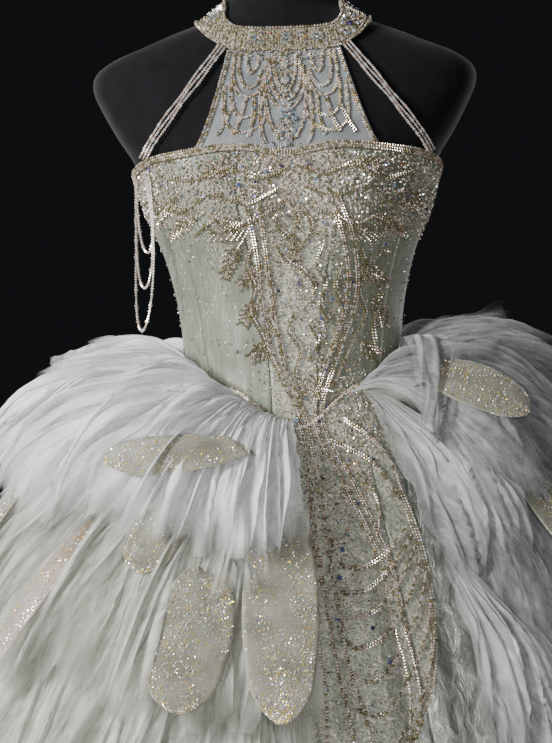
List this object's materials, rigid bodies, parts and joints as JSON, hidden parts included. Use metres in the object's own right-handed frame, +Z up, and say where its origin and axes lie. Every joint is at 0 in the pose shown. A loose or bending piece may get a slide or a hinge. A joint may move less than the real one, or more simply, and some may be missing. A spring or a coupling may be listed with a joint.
{
  "type": "beaded halter ball gown on a limbless dress form",
  "caption": "Floor-length ball gown with a beaded halter collar, boned bodice, pointed waist and tiers of gathered tulle with glitter petals, on a limbless dress form with a round base.",
  "frame": {"origin": "middle of the underside of the round base, on the floor", "axes": "+Z up, the front of the gown faces -Y, the wearer's left side is at +X"},
  "size_m": [1.3872, 1.1424, 1.5545],
  "materials": {
    "jersey_black": "matt black cotton jersey stretched over a padded form",
    "black_steel": "satin black powder coat on steel",
    "beaded_net": "net embroidered with dense glass beads, sequins and gold thread",
    "ivory_satin": "ivory sage satin under fine net, with scattered small stones",
    "grey_net": "fine pleated grey-blue net",
    "tulle": "soft pleated ivory tulle with raw edges",
    "glitter_net": "sheer stiff net with loose glitter and sequins",
    "bead_strand": "strung silver and pale rose glass beads",
    "crystal": "faceted crystals in silver claws"
  },
  "bodies": {
    "root": {"form_torso": "jersey_black", "form_pole": "black_steel", "form_base": "black_steel", "collar": "beaded_net", "collar_brooch": "crystal", "collar_button": "ivory_satin", "yoke_net": "grey_net", "bodice_top_trim": "bead_strand", "tier_1_left": "tulle", "tier_1_right": "tulle", "tier_2_left": "tulle", "tier_2_right": "tulle", "tier_3_left": "tulle", "tier_3_right": "tulle", "overskirt_left": "tulle", "overskirt_right": "tulle", "skirt_front": "beaded_net", "skirt_side_left": "ivory_satin", "skirt_side_right": "ivory_satin", "skirt_back_left": "ivory_satin", "skirt_back_right": "ivory_satin", "bodice_centre_front": "beaded_net", "bodice_side_front_left": "ivory_satin", "bodice_side_front_right": "ivory_satin", "bodice_side_left": "ivory_satin", "bodice_side_right": "ivory_satin", "bodice_back_left": "ivory_satin", "bodice_back_right": "ivory_satin", "back_button_1": "ivory_satin", "back_button_2": "ivory_satin", "back_button_3": "ivory_satin", "back_button_4": "ivory_satin", "back_button_5": "ivory_satin", "back_button_6": "ivory_satin", "strap_left_strand_1": "bead_strand", "strap_left_strand_2": "bead_strand", "strap_left_strand_3": "bead_strand", "bead_rope_left_outer": "bead_strand", "bead_rope_left_inner": "bead_strand", "strap_right_strand_1": "bead_strand", "strap_right_strand_2": "bead_strand", "strap_right_strand_3": "bead_strand", "bead_rope_right_outer": "bead_strand", "bead_rope_right_inner": "bead_strand", "side_loop_1": "bead_strand", "side_loop_2": "bead_strand", "side_loop_3": "bead_strand", "petal_left_wide": "glitter_net", "petal_left_short": "glitter_net", "petal_left_narrow": "glitter_net", "petal_left_side": "glitter_net", "petal_left_low": "glitter_net", "petal_centre_long": "glitter_net", "petal_right_high": "glitter_net", "petal_right_low": "glitter_net", "petal_right_side": "glitter_net", "petal_back_left": "glitter_net", "petal_back_right": "glitter_net"}
  },
  "joints": []
}
